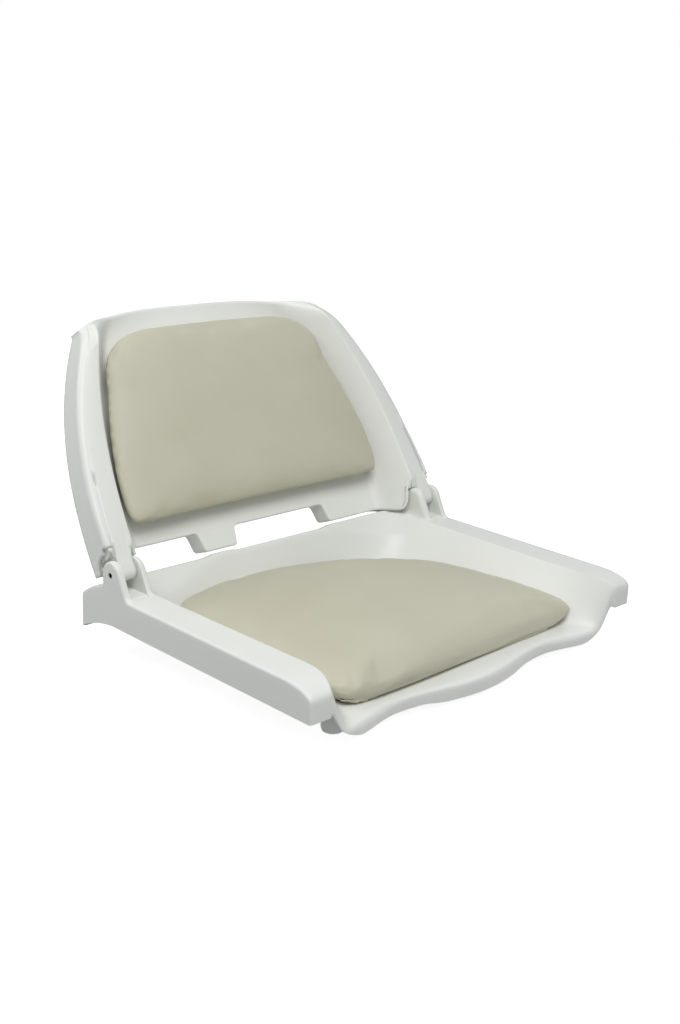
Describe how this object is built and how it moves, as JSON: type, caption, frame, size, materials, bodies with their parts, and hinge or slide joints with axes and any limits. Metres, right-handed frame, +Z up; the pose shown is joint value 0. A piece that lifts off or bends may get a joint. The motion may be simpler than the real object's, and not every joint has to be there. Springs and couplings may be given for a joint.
{
  "type": "folding boat seat",
  "caption": "Folding boat seat: a moulded white base with side rails, a moulded back that folds down over it on two pins, and beige vinyl cushions.",
  "frame": {"origin": "centre of the mounting face under the base, where it meets a swivel or pedestal plate", "axes": "+Z up, +Y to the rear of the seat, so that a person who sits in it faces -Y, and +X to the right as the seat is seen from its front"},
  "size_m": [0.48, 0.4915, 0.3252],
  "materials": {
    "white_polypropylene": "satin injection-moulded polypropylene, smooth",
    "beige_vinyl": "marine vinyl with a soft fine grain, stretched over foam",
    "cushion_foam": "open-cell upholstery foam, sealed inside the cover",
    "plywood": "plain birch plywood backing board",
    "stainless_steel": "plain turned stainless steel",
    "brass": "turned brass"
  },
  "bodies": {
    "base": {"seat_base": "white_polypropylene", "hinge_pin_left": "stainless_steel", "hinge_pin_right": "stainless_steel", "seat_cushion_cover": "beige_vinyl", "seat_cushion_foam": "cushion_foam", "seat_cushion_board": "plywood", "seat_cushion_screw_1": "stainless_steel", "seat_cushion_screw_2": "stainless_steel", "seat_cushion_screw_3": "stainless_steel", "seat_cushion_screw_4": "stainless_steel", "mount_insert_1": "brass", "mount_insert_2": "brass", "mount_insert_3": "brass", "mount_insert_4": "brass"},
    "back": {"back_shell": "white_polypropylene", "back_cushion_cover": "beige_vinyl", "back_cushion_foam": "cushion_foam", "back_cushion_board": "plywood", "back_cushion_screw_1": "stainless_steel", "back_cushion_screw_2": "stainless_steel", "back_cushion_screw_3": "stainless_steel", "back_cushion_screw_4": "stainless_steel"}
  },
  "joints": [
    {"name": "back_fold", "type": "hinge", "parent": "base", "child": "back", "pos_m": [0, 0.1245, 0.0957], "axis": [1, 0, 0], "range_deg": [0, 124]}
  ]
}
